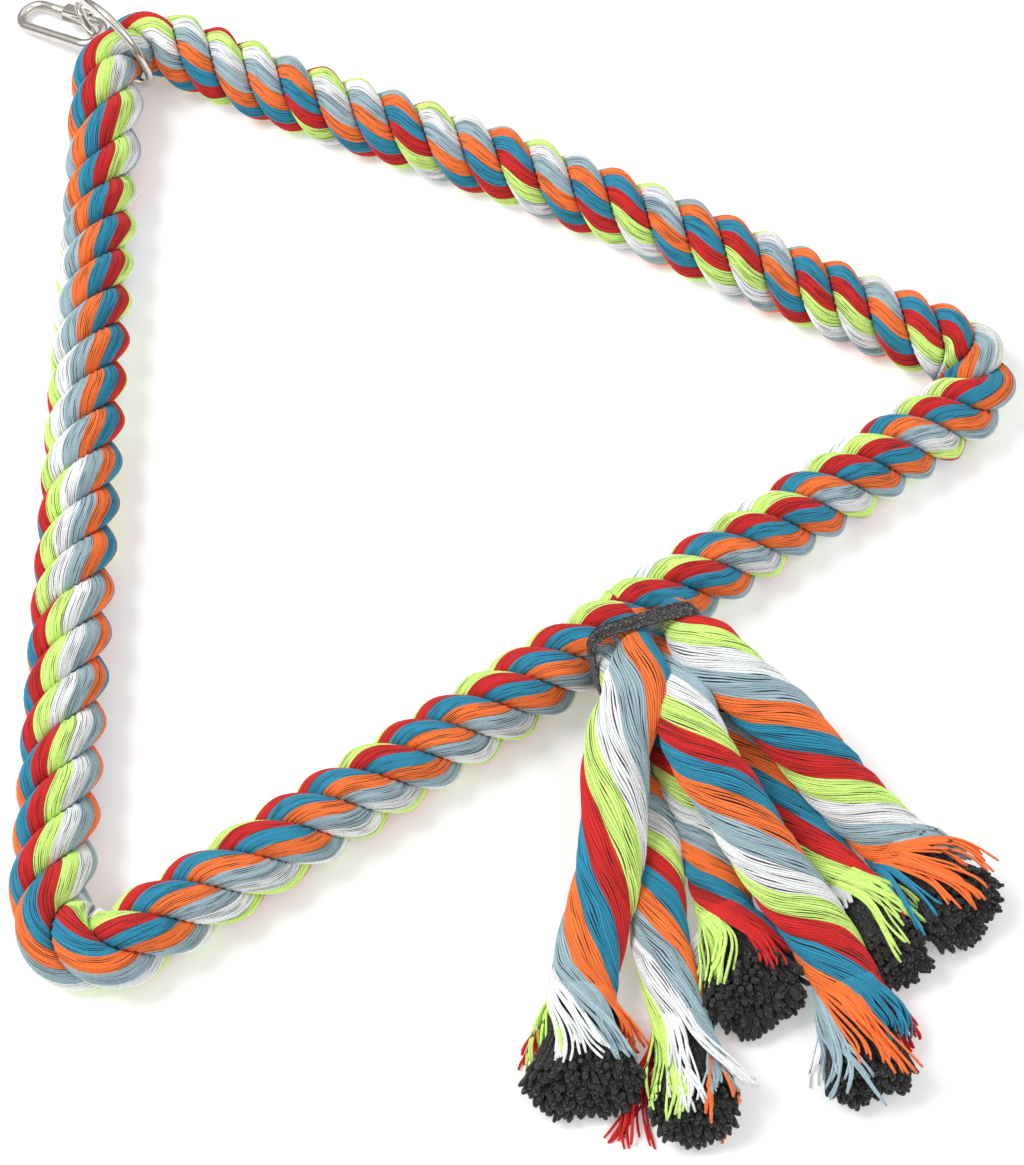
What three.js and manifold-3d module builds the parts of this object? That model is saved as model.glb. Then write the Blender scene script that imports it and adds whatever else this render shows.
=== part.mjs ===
// Triangular rope swing perch: a three-strand laid rope on a bent steel wire, a ring and a screw
// link at the apex, and a bound tassel of unlaid strand ends under the base.
// Millimetres. The perch lies flat on its side, +Z up, +X along the base, +Y from the base to the apex.
import * as THREE from "three";
import { mergeVertices } from "three/addons/utils/BufferGeometryUtils.js";
import Module from "manifold-3d";

const wasm = await Module();
wasm.setup();

// Rope triangle: side lengths between the sharp corners of the rope's axis
const BASE_LENGTH = 452;
const LEFT_LEG = 435;
const RIGHT_LEG = 417;
const RIGHT_LEG_BOW = 6;
const BEND_RADIUS = 18;
const ROPE_DIAMETER = 31;
const REST_CUT_SHARE = 0.1;
const APEX_LIFT_SPREAD = 95;
const APEX_PINCH = 2.6;
const APEX_PINCH_SPREAD = 30;

// Lay of the rope: length of one full turn of the strands on each side
const BASE_RIGHT_LAY = 47;
const RIGHT_LAY = 49.6;
const LEFT_LAY = 57.7;
const BASE_LEFT_LAY = 54;
const STEPS_PER_TURN = 9;
const STRAND_SPREAD = 0.4;
const CLEARANCE = 0.3;

// Core wire
const WIRE_DIAMETER = 4;
const WIRE_SIDES = 6;

// Ring and screw link
const RING_OUTSIDE = 47.5;
const RING_WIRE = 3.8;
const RING_BEFORE_APEX = 6;
const RING_LEAN = 7;
const RING_TURN = 10;
const LINK_LENGTH = 49;
const LINK_WIDTH = 18.5;
const LINK_ROD = 4.7;
const LINK_GAP = 7;
const LINK_GAP_OFFSET = 4;
const LINK_HANG_HEIGHT = 12;
const LINK_HEADING = 114;
const NUT_LENGTH = 13;
const NUT_ACROSS_FLATS = 8;
const NUT_CHAMFER = 0.8;

// Tassel: a neck of two rows of three strand ends, rising out of the rope, then six flattened tails
const ROPE_START_X = 30;
const NECK_X = 25;
const NECK_GAP = 1.3;
const NECK_RISE = 36;
const NECK_TURN = 18;
const ROOT_DIAMETER = 13.6;
const ROOT_SETBACK = 2;
const NECK_LENGTH = 14;
const TASSEL_LENGTH = 200;
const TAIL_WIDTH = 26;
const TAIL_HEIGHT = 16;
const TAIL_FILL_LENGTH = 40;
const END_SWELL = 1.06;
const FRAY_LENGTH = 26;
const SOCKET_DEPTH = 14;
const CORE_SHARE = 0.72;
const BRUSH_HEIGHT = 19;
const BRUSH_LENGTH = 22;
const TAIL_SIDES = 14;
const TAIL_STEPS = 14;

// Whipping that binds the neck
const WHIP_YARN = 2;
const WHIP_PITCH = 2.45;
const WHIP_LOOPS = 3;
const WHIP_SIDES = 6;

// Routes of the tails beyond the neck, chosen by hand. Across and along are shares of the tassel's length from
// the neck's middle on the base's axis, and up is a share of a tail's height. Widths are shares of the full tail.
const TAILS = [
  {
    row: 1,
    column: -1,
    width: 0.96,
    brush: 1.6,
    points: [
      [-0.109, -0.155, 2.53],
      [-0.19, -0.242, 2.03],
      [-0.251, -0.316, 1.54],
      [-0.327, -0.396, 1.04],
      [-0.418, -0.483, 0.703],
      [-0.511, -0.595, 0.656],
    ],
  },
  {
    row: -1,
    column: -1,
    width: 0.78,
    brush: 1.2,
    points: [
      [-0.146, -0.226, 1.02],
      [-0.197, -0.376, 0.587],
      [-0.246, -0.471, 0.562],
      [-0.305, -0.558, 0.562],
      [-0.35, -0.668, 0.562],
      [-0.407, -0.773, 0.625],
    ],
  },
  {
    row: -1,
    column: 0,
    width: 0.76,
    brush: 1.2,
    points: [
      [-0.0716, -0.305, 1.2],
      [-0.0902, -0.397, 0.675],
      [-0.13, -0.488, 0.587],
      [-0.169, -0.569, 0.575],
      [-0.201, -0.65, 0.619],
    ],
  },
  {
    row: 1,
    column: 0,
    width: 0.96,
    brush: 1.3,
    points: [
      [-0.0375, -0.237, 2.71],
      [-0.0618, -0.339, 2.32],
      [-0.0661, -0.446, 1.99],
      [-0.0721, -0.557, 1.63],
      [-0.0733, -0.686, 1.15],
      [-0.0907, -0.798, 0.823],
      [-0.117, -0.878, 0.719],
    ],
  },
  {
    row: -1,
    column: 1,
    width: 0.82,
    brush: 0.9,
    points: [
      [0.0529, -0.266, 1.06],
      [0.0559, -0.349, 0.672],
      [0.0412, -0.444, 0.57],
      [0.0352, -0.542, 0.562],
      [0.0403, -0.638, 0.562],
      [0.0406, -0.719, 0.619],
    ],
  },
  {
    row: 1,
    column: 1,
    width: 0.98,
    brush: 1.3,
    points: [
      [0.101, -0.24, 2.25],
      [0.121, -0.351, 1.7],
      [0.143, -0.488, 1.14],
      [0.158, -0.59, 0.815],
      [0.166, -0.68, 0.677],
      [0.185, -0.752, 0.656],
    ],
  },
];

const ROPE_RADIUS = ROPE_DIAMETER / 2;
const AXIS_HEIGHT = ROPE_RADIUS - REST_CUT_SHARE * ROPE_DIAMETER;
const UP = new THREE.Vector3(0, 0, 1);
const COTTON_A = new THREE.MeshStandardMaterial({ color: 0xc4281f, roughness: 0.95 });
const COTTON_B = new THREE.MeshStandardMaterial({ color: 0x1f7fa8, roughness: 0.95 });
const COTTON_C = new THREE.MeshStandardMaterial({ color: 0xa9dc52, roughness: 0.95 });
const COTTON_DARK = new THREE.MeshStandardMaterial({ color: 0x2b2a2b, roughness: 0.97 });
const STEEL = new THREE.MeshStandardMaterial({ color: 0xc9c6c0, roughness: 0.22, metalness: 1 });
const WIRE_STEEL = new THREE.MeshStandardMaterial({ color: 0x8b8d90, roughness: 0.45, metalness: 1 });

const object = new THREE.Group();

function addPiece(name, geometry, material) {
  const mesh = new THREE.Mesh(geometry, material);
  mesh.name = name;
  object.add(mesh);
  return mesh;
}

// Closed skin over rings of points that run anticlockwise as seen against the way they advance.
// The diagonals lean with a right-handed twist, except on the edges in straight, where they lean back.
function loft(rings, { straight = [], closed = false } = {}) {
  const size = rings[0].length;
  const positions = rings.flat().flatMap((point) => [point.x, point.y, point.z]);
  const index = [];
  const joints = closed ? rings.length : rings.length - 1;
  for (let i = 0; i < joints; i++) {
    const here = i * size;
    const next = ((i + 1) % rings.length) * size;
    for (let j = 0; j < size; j++) {
      const k = (j + 1) % size;
      if (straight.includes(j)) {
        index.push(here + j, here + k, next + k, here + j, next + k, next + j);
      } else {
        index.push(here + j, here + k, next + j, here + k, next + k, next + j);
      }
    }
  }
  if (!closed) {
    const last = (rings.length - 1) * size;
    for (let j = 1; j < size - 1; j++) {
      index.push(0, j + 1, j);
      index.push(last, last + j, last + j + 1);
    }
  }
  const geometry = new THREE.BufferGeometry();
  geometry.setAttribute("position", new THREE.Float32BufferAttribute(positions, 3));
  geometry.setIndex(index);
  geometry.computeVertexNormals();
  return geometry;
}

// Geometry to a solid for cutting, and back
function toSolid(geometry) {
  const bare = geometry.clone();
  bare.deleteAttribute("normal");
  bare.deleteAttribute("uv");
  const merged = mergeVertices(bare, 1e-3);
  return new wasm.Manifold(
    new wasm.Mesh({
      numProp: 3,
      vertProperties: new Float32Array(merged.attributes.position.array),
      triVerts: new Uint32Array(merged.index.array),
    }),
  );
}

function fromSolid(solid) {
  const mesh = solid.getMesh();
  const geometry = new THREE.BufferGeometry();
  geometry.setAttribute("position", new THREE.Float32BufferAttribute(mesh.vertProperties, 3));
  geometry.setIndex([...mesh.triVerts]);
  geometry.computeVertexNormals();
  return geometry;
}

// Ring of points in the plane of two axes
function circle(centre, across, upright, radius, sides, turn = 0) {
  return Array.from({ length: sides }, (_, i) => {
    const angle = turn + (2 * Math.PI * i) / sides;
    return centre
      .clone()
      .addScaledVector(across, radius * Math.cos(angle))
      .addScaledVector(upright, radius * Math.sin(angle));
  });
}

// Corners of the rope's axis, worked out from the three sides
const apexX = (LEFT_LEG ** 2 - RIGHT_LEG ** 2) / (2 * BASE_LENGTH);
const apexY = Math.sqrt(LEFT_LEG ** 2 - (BASE_LENGTH / 2 + apexX) ** 2);
const cornerLeft = new THREE.Vector2(-BASE_LENGTH / 2, 0);
const cornerRight = new THREE.Vector2(BASE_LENGTH / 2, 0);
const cornerApex = new THREE.Vector2(apexX, apexY);

// The axis as stretches from the neck round the right corner, the apex and the left corner to the neck
function makeRoute() {
  const neck = new THREE.Vector2(ROPE_START_X, 0);
  const sides = [
    { from: neck, to: cornerRight, lay: BASE_RIGHT_LAY, bow: 0 },
    { from: cornerRight, to: cornerApex, lay: RIGHT_LAY, bow: RIGHT_LEG_BOW },
    { from: cornerApex, to: cornerLeft, lay: LEFT_LAY, bow: 0 },
    { from: cornerLeft, to: neck, lay: BASE_LEFT_LAY, bow: 0 },
  ];
  const heading = (side) => side.to.clone().sub(side.from).normalize();
  const stretches = [];
  let start = 0;
  let turns = 0;
  let trimBefore = 0;
  sides.forEach((side, i) => {
    const along = heading(side);
    const next = sides[i + 1];
    const turn = next ? Math.acos(along.dot(heading(next))) : 0;
    const trimAfter = BEND_RADIUS * Math.tan(turn / 2);
    const length = side.to.distanceTo(side.from) - trimBefore - trimAfter;
    const origin = side.from.clone().addScaledVector(along, trimBefore);
    stretches.push({ kind: "line", start, length, turns, lay: side.lay, origin, along, bow: side.bow });
    start += length;
    turns += length / side.lay;
    if (next) {
      const lay = (side.lay + next.lay) / 2;
      const arc = BEND_RADIUS * turn;
      const begin = origin.clone().addScaledVector(along, length);
      const inward = new THREE.Vector2(-along.y, along.x);
      const centre = begin.clone().addScaledVector(inward, BEND_RADIUS);
      const facing = Math.atan2(begin.y - centre.y, begin.x - centre.x);
      stretches.push({ kind: "arc", start, length: arc, turns, lay, centre, facing });
      start += arc;
      turns += arc / lay;
    }
    trimBefore = trimAfter;
  });
  return { stretches, length: start, turns };
}

const route = makeRoute();
const apexArc = route.stretches[3];
const apexMiddle = apexArc.start + apexArc.length / 2;

// A hump that is 1 at the middle and falls smoothly to 0 at the spread
function hump(distance, spread) {
  return Math.abs(distance) < spread ? Math.cos((Math.PI / 2) * (distance / spread)) ** 2 : 0;
}

function ropeRadiusAt(s) {
  return ROPE_RADIUS - APEX_PINCH * hump(s - apexMiddle, APEX_PINCH_SPREAD);
}

// The rope lies on the ring's wire at the apex, so its axis rises there
const apexLift = RING_WIRE + CLEARANCE + ropeRadiusAt(apexMiddle) - AXIS_HEIGHT;

function pointAt(s) {
  const stretch = route.stretches.find((one) => s <= one.start + one.length) ?? route.stretches.at(-1);
  const travelled = s - stretch.start;
  const flat = new THREE.Vector2();
  if (stretch.kind === "line") {
    const bow = stretch.bow * hump(travelled - stretch.length / 2, stretch.length / 2);
    flat.copy(stretch.origin).addScaledVector(stretch.along, travelled);
    flat.addScaledVector(new THREE.Vector2(stretch.along.y, -stretch.along.x), bow);
  } else {
    const angle = stretch.facing + travelled / BEND_RADIUS;
    flat.set(Math.cos(angle), Math.sin(angle)).multiplyScalar(BEND_RADIUS).add(stretch.centre);
  }
  const height = AXIS_HEIGHT + apexLift * hump(s - apexMiddle, APEX_LIFT_SPREAD);
  return new THREE.Vector3(flat.x, flat.y, height);
}

// Frame of the rope's axis: forward along it, side towards the inside of the triangle, and upright
function frameAt(s) {
  const step = 0.5;
  const before = pointAt(Math.max(s - step, 0));
  const after = pointAt(Math.min(s + step, route.length));
  const forward = after.sub(before).normalize();
  const side = UP.clone().cross(forward).normalize();
  const upright = forward.clone().cross(side);
  return { centre: pointAt(s), forward, side, upright };
}

// Stations along the rope at even steps of twist, with whole thirds of a turn so that strand meets strand
const STRANDS = 3;
const wholeThirds = Math.round(route.turns * STRANDS);
const stationCount = Math.round((wholeThirds * STEPS_PER_TURN) / STRANDS);

function stationAt(i) {
  const wanted = (route.turns * i) / stationCount;
  const stretch = route.stretches.findLast((one) => one.turns <= wanted + 1e-9);
  const s = Math.min(stretch.start + (wanted - stretch.turns) * stretch.lay, route.length);
  return s;
}

const JOINT_GAP = 0.6;
const stations = Array.from({ length: stationCount + 1 }, (_, i) =>
  THREE.MathUtils.clamp(stationAt(i), JOINT_GAP / 2, route.length - JOINT_GAP / 2),
);

// One strand's section is a third of the rope: two flat sides against its neighbours and a round crown
const THIRD = (2 * Math.PI) / STRANDS;
const STRAND_HOLLOW = WIRE_DIAMETER + 2 * CLEARANCE + 0.4;
const CROWN_ANGLES = [-30, 0, 30].map(THREE.MathUtils.degToRad);

function strandRing(i, strand) {
  const s = stations[i];
  const { centre, side, upright } = frameAt(s);
  const radius = ropeRadiusAt(s);
  const turn = (2 * Math.PI * i) / STEPS_PER_TURN + strand * THIRD;
  const offset = STRAND_SPREAD * radius;
  const crown = radius - offset;
  const reach = (angle) => offset * Math.cos(angle) + Math.sqrt(crown ** 2 - (offset * Math.sin(angle)) ** 2);
  const place = (distance, angle) =>
    centre
      .clone()
      .addScaledVector(side, distance * Math.cos(turn + angle))
      .addScaledVector(upright, distance * Math.sin(turn + angle));
  const flank = (distance, sign) => place(distance, sign * (THIRD / 2 - Math.asin(CLEARANCE / 2 / distance)));
  const valley = reach(THIRD / 2);
  return [
    flank(STRAND_HOLLOW, -1),
    flank(valley, -1),
    ...CROWN_ANGLES.map((angle) => place(reach(angle), angle)),
    flank(valley, 1),
    flank(STRAND_HOLLOW, 1),
  ];
}

// Everything below the floor is cut away, so that the soft rope lies on flats
const floorCut = toSolid(
  new THREE.BoxGeometry(2 * BASE_LENGTH, 2 * BASE_LENGTH, ROPE_DIAMETER).translate(0, apexY / 2, -ROPE_RADIUS),
);

[COTTON_A, COTTON_B, COTTON_C].forEach((material, strand) => {
  const rings = stations.map((_, i) => strandRing(i, strand));
  const laid = loft(rings, { straight: [0, rings[0].length - 1] });
  addPiece(`rope_strand_${"abc"[strand]}`, fromSolid(toSolid(laid).subtract(floorCut)), material);
});

// Core wire, with rings close together only where it bends
const wireStations = stations.filter((s, i) => {
  const bends = route.stretches.some(
    (one) => one.kind === "arc" && s > one.start - LEFT_LAY / 2 && s < one.start + one.length + LEFT_LAY / 2,
  );
  return bends || i % STEPS_PER_TURN === 0;
});
const wireRings = wireStations.map((s) => {
  const { centre, side, upright } = frameAt(s);
  return circle(centre, side, upright, WIRE_DIAMETER / 2, WIRE_SIDES);
});
addPiece("core_wire", loft(wireRings), WIRE_STEEL);

// Ring: stands on its edge on the floor round the rope's apex, leaning and turned a little
const apex = pointAt(apexMiddle);
const ringMiddle = (RING_OUTSIDE - RING_WIRE) / 2;
const ringLean = THREE.MathUtils.degToRad(RING_LEAN);
const ringTurn = THREE.MathUtils.degToRad(RING_TURN);
const ringOut = new THREE.Vector3(-Math.sin(ringTurn), Math.cos(ringTurn), 0);
const ringAxis = new THREE.Vector3(ringOut.y, -ringOut.x, 0).multiplyScalar(Math.cos(ringLean));
ringAxis.z = Math.sin(ringLean);
const ringUp = ringAxis.clone().cross(ringOut);
const ringHeight = ringMiddle * Math.cos(ringLean) + RING_WIRE / 2;
const ropeWidthAtRing = ropeRadiusAt(apexMiddle) * 1.08;
const ringHalfAtRope = Math.sqrt((ringMiddle - RING_WIRE / 2) ** 2 - (ringHeight - apex.z) ** 2);
const linkRoom = LINK_ROD + 3 * CLEARANCE;
const ringCentre = new THREE.Vector3(
  apex.x - RING_BEFORE_APEX,
  apex.y + ropeWidthAtRing + linkRoom - ringHalfAtRope,
  ringHeight,
);

function ringOutward(angle) {
  return ringOut.clone().multiplyScalar(Math.cos(angle)).addScaledVector(ringUp, Math.sin(angle));
}

const RING_STEPS = 36;
const RING_SIDES = 10;
const ringRings = Array.from({ length: RING_STEPS }, (_, i) => {
  const angle = (2 * Math.PI * i) / RING_STEPS;
  const outward = ringOutward(angle);
  const centre = ringCentre.clone().addScaledVector(outward, ringMiddle);
  return circle(centre, ringAxis, outward, RING_WIRE / 2, RING_SIDES);
});
addPiece("ring", loft(ringRings, { closed: true }), STEEL);

// Screw link: an open oval of rod, its eye round the ring's far side and its other end on the floor
const hangAngle = Math.asin((LINK_HANG_HEIGHT - ringHeight) / (ringMiddle * Math.cos(ringLean)));
const hangPoint = ringCentre.clone().addScaledVector(ringOutward(hangAngle), ringMiddle);
const eyeOffset = (RING_WIRE + LINK_ROD) / 2 + CLEARANCE;
const linkReach = LINK_LENGTH - LINK_ROD;
const linkDip = Math.asin((LINK_HANG_HEIGHT - LINK_ROD / 2 - CLEARANCE) / (linkReach - eyeOffset));
const heading = THREE.MathUtils.degToRad(LINK_HEADING);
const linkAlong = new THREE.Vector3(
  Math.cos(heading) * Math.cos(linkDip),
  Math.sin(heading) * Math.cos(linkDip),
  -Math.sin(linkDip),
);
const linkAcross = new THREE.Vector3(Math.sin(heading), -Math.cos(heading), 0);
const linkNormal = linkAcross.clone().cross(linkAlong);
const linkStart = hangPoint.clone().addScaledVector(linkAlong, -eyeOffset);
const linkBow = (LINK_WIDTH - LINK_ROD) / 2;
const linkRun = linkReach - 2 * linkBow;
const linkMiddle = linkStart.clone().addScaledVector(linkAlong, linkReach / 2);

// Point and frame of the link's rod in its own plane, x along the link and y across it
function linkRing(x, y, directionX, directionY, radius, sides) {
  const centre = linkMiddle.clone().addScaledVector(linkAlong, x).addScaledVector(linkAcross, y);
  const outward = linkAlong.clone().multiplyScalar(directionY).addScaledVector(linkAcross, -directionX);
  return circle(centre, outward, linkNormal, radius, sides);
}

const LINK_SIDES = 10;
const BOW_STEPS = 10;
const gapMiddle = -LINK_GAP_OFFSET;
const linkRings = [linkRing(gapMiddle + LINK_GAP / 2, linkBow, 1, 0, LINK_ROD / 2, LINK_SIDES)];
for (let i = 0; i <= BOW_STEPS; i++) {
  const angle = Math.PI / 2 - (Math.PI * i) / BOW_STEPS;
  const x = linkRun / 2 + linkBow * Math.cos(angle);
  linkRings.push(linkRing(x, linkBow * Math.sin(angle), Math.sin(angle), -Math.cos(angle), LINK_ROD / 2, LINK_SIDES));
}
for (let i = 0; i <= BOW_STEPS; i++) {
  const angle = -Math.PI / 2 - (Math.PI * i) / BOW_STEPS;
  const x = -linkRun / 2 + linkBow * Math.cos(angle);
  linkRings.push(linkRing(x, linkBow * Math.sin(angle), Math.sin(angle), -Math.cos(angle), LINK_ROD / 2, LINK_SIDES));
}
linkRings.push(linkRing(gapMiddle - LINK_GAP / 2, linkBow, 1, 0, LINK_ROD / 2, LINK_SIDES));
addPiece("quick_link", loft(linkRings), STEEL);

// Hexagon sleeve nut over the link's gap
const NUT_SIDES = 6;
const BORE_SIDES = 12;
const nutCorner = NUT_ACROSS_FLATS / Math.sqrt(3);
const nutHalf = NUT_LENGTH / 2;
const nutOuter = [
  [-nutHalf, nutCorner - NUT_CHAMFER],
  [-nutHalf + NUT_CHAMFER, nutCorner],
  [nutHalf - NUT_CHAMFER, nutCorner],
  [nutHalf, nutCorner - NUT_CHAMFER],
].map(([x, radius]) => linkRing(gapMiddle + x, linkBow, 1, 0, radius, NUT_SIDES));
const nutBore = [-nutHalf - 1, nutHalf + 1].map((x) =>
  linkRing(gapMiddle + x, linkBow, 1, 0, LINK_ROD / 2 + CLEARANCE, BORE_SIDES),
);
const nutSolid = toSolid(loft(nutOuter)).subtract(toSolid(loft(nutBore)));
addPiece("link_nut", fromSolid(nutSolid), STEEL);

// Neck of the tassel: its own axis rises out of the rope, away from the triangle, and turns a little aside
const neckRise = THREE.MathUtils.degToRad(NECK_RISE);
const neckTurn = THREE.MathUtils.degToRad(NECK_TURN);
const neckAlong = new THREE.Vector3(0, -Math.cos(neckRise), Math.sin(neckRise)).applyAxisAngle(UP, -neckTurn);
const neckAcross = new THREE.Vector3(1, 0, 0).applyAxisAngle(UP, -neckTurn);
const neckUp = neckAcross.clone().cross(neckAlong).negate();
const rootSpacing = ROOT_DIAMETER + 2 * CLEARANCE;
const rootStep = rootSpacing * Math.sin(neckTurn) * Math.cos(neckRise);
const neckReach = ROPE_RADIUS + NECK_GAP + ROOT_SETBACK + rootStep;
const neckCentre = new THREE.Vector3(
  NECK_X,
  -neckReach * Math.cos(neckRise),
  AXIS_HEIGHT + neckReach * Math.sin(neckRise),
);

// The neck stands askew to the rope, so a root further from it reaches back further
const rootExtra = (column) => (column + 1) * rootStep;

// Tails: each is a strand end that fills out past the neck and ends in an open cover round a frayed core
function tailCurve({ row, column, points }) {
  const place = ([across, along, up]) =>
    new THREE.Vector3(NECK_X + across * TASSEL_LENGTH, along * TASSEL_LENGTH, up * TAIL_HEIGHT);
  const root = neckCentre
    .clone()
    .addScaledVector(neckAcross, column * rootSpacing)
    .addScaledVector(neckUp, (row * rootSpacing) / 2);
  const neckPoints = [
    -ROOT_SETBACK - rootExtra(column),
    (NECK_LENGTH - ROOT_SETBACK) / 2,
    NECK_LENGTH - ROOT_SETBACK,
  ].map((reach) => root.clone().addScaledVector(neckAlong, reach));
  return new THREE.CatmullRomCurve3([...neckPoints, ...points.map(place)]);
}

function tailFrame(curve, share) {
  const centre = curve.getPointAt(share);
  const forward = curve.getTangentAt(share);
  const side = UP.clone().cross(forward).normalize();
  return { centre, forward, side, upright: forward.clone().cross(side) };
}

// Half width and half height of a tail at a place along it
function tailHalves(travelled, length, { width, column }) {
  const root = ROOT_DIAMETER / 2;
  const neckEnd = NECK_LENGTH + rootExtra(column);
  const filled = THREE.MathUtils.smoothstep(travelled, neckEnd, neckEnd + TAIL_FILL_LENGTH);
  const frayed = THREE.MathUtils.smoothstep(travelled, length - FRAY_LENGTH, length);
  const swell = 1 + (END_SWELL - 1) * frayed;
  const half = (full) => (root + (full / 2 - root) * filled) * swell;
  return [half(width * TAIL_WIDTH), half(TAIL_HEIGHT)];
}

TAILS.forEach((tail, number) => {
  const curve = tailCurve(tail);
  const length = curve.getLength();
  const ringAt = (travelled, [halfWidth, halfHeight], reach = 0) => {
    const { centre, forward, side, upright } = tailFrame(curve, THREE.MathUtils.clamp(travelled / length, 0, 1));
    centre.addScaledVector(forward, reach);
    return circle(centre, side.multiplyScalar(halfWidth), upright.multiplyScalar(halfHeight), 1, TAIL_SIDES);
  };
  const coverRings = Array.from({ length: TAIL_STEPS + 1 }, (_, i) => {
    const travelled = (length * i) / TAIL_STEPS;
    return ringAt(travelled, tailHalves(travelled, length, tail));
  });
  const socket = tailHalves(length, length, tail).map((half) => half * CORE_SHARE);
  coverRings.push(ringAt(length, socket), ringAt(length - SOCKET_DEPTH, socket));
  const core = socket.map((half) => half - CLEARANCE);
  const brush = [(tail.brush * TAIL_WIDTH) / 2, BRUSH_HEIGHT / 2];
  const brushStart = core.map((half, i) => (half + brush[i]) / 2);
  const coreRings = [
    ringAt(length - SOCKET_DEPTH + CLEARANCE, core),
    ringAt(length, core),
    ringAt(length, core, CLEARANCE),
    ringAt(length, brushStart, CLEARANCE),
    ringAt(length, brush, BRUSH_LENGTH * 0.6),
    ringAt(length, brush, BRUSH_LENGTH),
  ];
  const material = [COTTON_A, COTTON_B, COTTON_C][number % 3];
  addPiece(`tail_cover_${number + 1}`, loft(coverRings), material);
  addPiece(`tail_core_${number + 1}`, loft(coreRings), COTTON_DARK);
});

// Whipping: one unbroken yarn wound round the neck in a rounded rectangle that steps along it
const whipCorner = ROOT_DIAMETER / 2 + 2 * CLEARANCE + WHIP_YARN / 2;
const whipHalfWidth = rootSpacing;
const whipHalfHeight = rootSpacing / 2;
const CORNER_STEPS = 4;
const SIDE_STEPS = 2;

function whipOutline() {
  const outline = [];
  const corners = [
    [1, 1, 0],
    [-1, 1, 1],
    [-1, -1, 2],
    [1, -1, 3],
  ];
  corners.forEach(([signX, signY, quarter], i) => {
    const arc = Array.from({ length: CORNER_STEPS + 1 }, (_, j) => {
      const angle = (quarter + j / CORNER_STEPS) * (Math.PI / 2);
      return [
        signX * whipHalfWidth + whipCorner * Math.cos(angle),
        signY * whipHalfHeight + whipCorner * Math.sin(angle),
      ];
    });
    const [nextX, nextY, nextQuarter] = corners[(i + 1) % corners.length];
    const arcEnd = arc.at(-1);
    const target = [
      nextX * whipHalfWidth + whipCorner * Math.cos((nextQuarter * Math.PI) / 2),
      nextY * whipHalfHeight + whipCorner * Math.sin((nextQuarter * Math.PI) / 2),
    ];
    outline.push(...arc);
    for (let j = 1; j < SIDE_STEPS; j++) {
      outline.push([0, 1].map((axis) => arcEnd[axis] + ((target[axis] - arcEnd[axis]) * j) / SIDE_STEPS));
    }
  });
  return outline;
}

function whipPath() {
  const outline = whipOutline();
  const count = outline.length * WHIP_LOOPS;
  const span = WHIP_PITCH * WHIP_LOOPS;
  const first = WHIP_YARN / 2 - ROOT_SETBACK;
  const path = Array.from({ length: count + 1 }, (_, i) => {
    const [across, up] = outline[i % outline.length];
    return neckCentre
      .clone()
      .addScaledVector(neckAcross, across)
      .addScaledVector(neckUp, up)
      .addScaledVector(neckAlong, first + (span * i) / count);
  });
  const lead = path[0].clone().sub(path[1]).setLength(WHIP_YARN).add(path[0]);
  const tail = path.at(-1).clone().sub(path.at(-2)).setLength(WHIP_YARN).add(path.at(-1));
  return [lead, ...path, tail];
}

function whipRings(path) {
  return path.map((point, i) => {
    const before = path[Math.max(i - 1, 0)];
    const after = path[Math.min(i + 1, path.length - 1)];
    const forward = after.clone().sub(before).normalize();
    const outward = neckAlong.clone().cross(forward).normalize();
    const upright = forward.clone().cross(outward);
    return circle(point, outward, upright, WHIP_YARN / 2, WHIP_SIDES);
  });
}

// Least gap of the winding to itself, between points half a loop or more apart along it
function leastGap(path, apart, diameter) {
  let least = Infinity;
  for (let i = 0; i < path.length; i++) {
    for (let j = i + apart; j < path.length; j++) {
      least = Math.min(least, path[i].distanceTo(path[j]));
    }
  }
  return least - diameter;
}

const whip = whipPath();
const stepsPerLoop = (whip.length - 3) / WHIP_LOOPS;
console.log("whipping: least gap to itself", leastGap(whip, Math.round(stepsPerLoop / 2), WHIP_YARN).toFixed(2), "mm");
addPiece("whipping", loft(whipRings(whip)), COTTON_DARK);

// The origin is the middle of the footprint, on the floor
const extent = new THREE.Box3().setFromObject(object);
const middle = extent.getCenter(new THREE.Vector3());
object.position.set(-middle.x, -middle.y, -extent.min.z);

export default object;
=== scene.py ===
import math
import random

import bmesh
import bpy
from mathutils import Matrix, Vector


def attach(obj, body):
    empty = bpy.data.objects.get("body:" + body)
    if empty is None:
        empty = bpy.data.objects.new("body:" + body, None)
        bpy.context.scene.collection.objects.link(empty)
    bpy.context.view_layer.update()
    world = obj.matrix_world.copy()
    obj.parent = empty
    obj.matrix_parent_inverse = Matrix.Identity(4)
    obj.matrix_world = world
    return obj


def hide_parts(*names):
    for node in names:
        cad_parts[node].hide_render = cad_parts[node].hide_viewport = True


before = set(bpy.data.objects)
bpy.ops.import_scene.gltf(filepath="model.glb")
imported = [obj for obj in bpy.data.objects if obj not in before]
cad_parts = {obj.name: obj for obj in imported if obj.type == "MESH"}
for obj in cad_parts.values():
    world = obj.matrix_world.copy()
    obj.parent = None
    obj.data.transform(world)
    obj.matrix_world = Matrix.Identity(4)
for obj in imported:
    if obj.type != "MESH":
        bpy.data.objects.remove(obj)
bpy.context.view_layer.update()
scene = bpy.context.scene

MM = 0.001
TURN = 2 * math.pi
UP = Vector((0, 0, 1))

# The rope triangle's corners are laid out about the base's middle, this far from the frame's origin
SHIFT = Vector((-1.385, -100.243, 0)) * MM


def smooth(value, low, high):
    share = min(max((value - low) / (high - low), 0), 1)
    return share * share * (3 - 2 * share)


def hump(distance, spread):
    if abs(distance) >= spread:
        return 0
    return math.cos(math.pi / 2 * distance / spread) ** 2


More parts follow.
